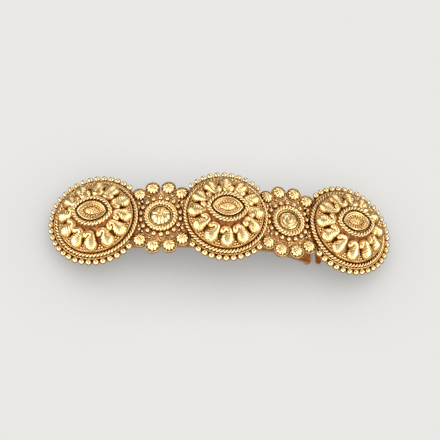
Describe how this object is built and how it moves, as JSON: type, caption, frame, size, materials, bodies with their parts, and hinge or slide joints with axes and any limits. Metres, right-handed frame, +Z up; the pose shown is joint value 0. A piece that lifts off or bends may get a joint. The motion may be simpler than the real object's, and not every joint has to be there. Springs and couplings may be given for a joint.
{
  "type": "barrette",
  "caption": "Arched hair barrette with round domed medallions, link flowers, rope and bead borders, on a sprung clip whose hinged arm snaps over squeeze prongs.",
  "frame": {"origin": "on the rest plane, under the middle of the bounding box", "axes": "+X along the barrette towards the catch, +Y across it towards the rear edge, +Z up through the decorated face"},
  "size_m": [0.092, 0.0264, 0.0188],
  "materials": {
    "plate_gold": "antique satin",
    "recess_gold": "antique satin, darkened in the recesses",
    "bead_gold": "polished",
    "rope_gold": "antique satin",
    "leaf_gold": "antique satin, chased",
    "setting_gold": "antique satin",
    "melon_gold": "polished, fluted",
    "clip_gold": "gold plated, satin",
    "spring_gold": "gold plated, polished",
    "pin_gold": "gold plated, polished"
  },
  "bodies": {
    "decorated_front": {"left_back_plate": "plate_gold", "left_dome": "recess_gold", "left_rim_beads": "bead_gold", "left_rim_wire": "rope_gold", "left_rim_rope": "rope_gold", "left_leaves": "leaf_gold", "left_eye_seat": "recess_gold", "left_eye_rope_outer": "rope_gold", "left_eye_rope_inner": "rope_gold", "left_eye_cup": "setting_gold", "left_eye_granules": "bead_gold", "left_eye_boss": "leaf_gold", "centre_back_plate": "plate_gold", "centre_dome": "recess_gold", "centre_rim_beads": "bead_gold", "centre_rim_wire": "rope_gold", "centre_rim_rope": "rope_gold", "centre_leaves": "leaf_gold", "centre_eye_seat": "recess_gold", "centre_eye_rope_outer": "rope_gold", "centre_eye_rope_inner": "rope_gold", "centre_eye_cup": "setting_gold", "centre_eye_granules": "bead_gold", "centre_eye_boss": "leaf_gold", "right_back_plate": "plate_gold", "right_dome": "recess_gold", "right_rim_beads": "bead_gold", "right_rim_wire": "rope_gold", "right_rim_rope": "rope_gold", "right_leaves": "leaf_gold", "right_eye_seat": "recess_gold", "right_eye_rope_outer": "rope_gold", "right_eye_rope_inner": "rope_gold", "right_eye_cup": "setting_gold", "right_eye_granules": "bead_gold", "right_eye_boss": "leaf_gold", "left_link_plate": "plate_gold", "left_melon_beads": "melon_gold", "left_melon_collars": "setting_gold", "left_dot_ring": "bead_gold", "left_link_rope": "rope_gold", "left_button_cup": "setting_gold", "left_button": "melon_gold", "right_link_plate": "plate_gold", "right_melon_beads": "melon_gold", "right_melon_collars": "setting_gold", "right_dot_ring": "bead_gold", "right_link_rope": "rope_gold", "right_button_cup": "setting_gold", "right_button": "melon_gold", "backbone_strip": "plate_gold", "clip_base": "clip_gold", "hinge_pin": "pin_gold", "catch_bridge": "clip_gold", "catch_rivet": "pin_gold", "spring_rivet": "pin_gold"},
    "clip_arm": {"clip_arm": "clip_gold"},
    "bow_spring": {"bow_spring": "spring_gold"},
    "prong_front": {"catch_prong_front": "spring_gold"},
    "prong_rear": {"catch_prong_rear": "spring_gold"}
  },
  "joints": [
    {"name": "arm_hinge", "type": "hinge", "parent": "decorated_front", "child": "clip_arm", "pos_m": [-0.0275, 0, 0.0015], "axis": [0, 1, 0], "range_deg": [0, 80]},
    {"name": "bow_spring_flex", "type": "hinge", "parent": "decorated_front", "child": "bow_spring", "pos_m": [-0.02054, 0, 0.00769], "axis": [0, -1, 0], "range_deg": [0, 1.8], "stiffness_Nm_per_rad": 0.05},
    {"name": "prong_front_squeeze", "type": "hinge", "parent": "decorated_front", "child": "prong_front", "pos_m": [0.0237, -0.00265, 0.0052], "axis": [1, 0, 0], "range_deg": [0, 8], "stiffness_Nm_per_rad": 0.01},
    {"name": "prong_rear_squeeze", "type": "hinge", "parent": "decorated_front", "child": "prong_rear", "pos_m": [0.0237, 0.00265, 0.0052], "axis": [-1, 0, 0], "range_deg": [0, 8], "stiffness_Nm_per_rad": 0.01}
  ]
}
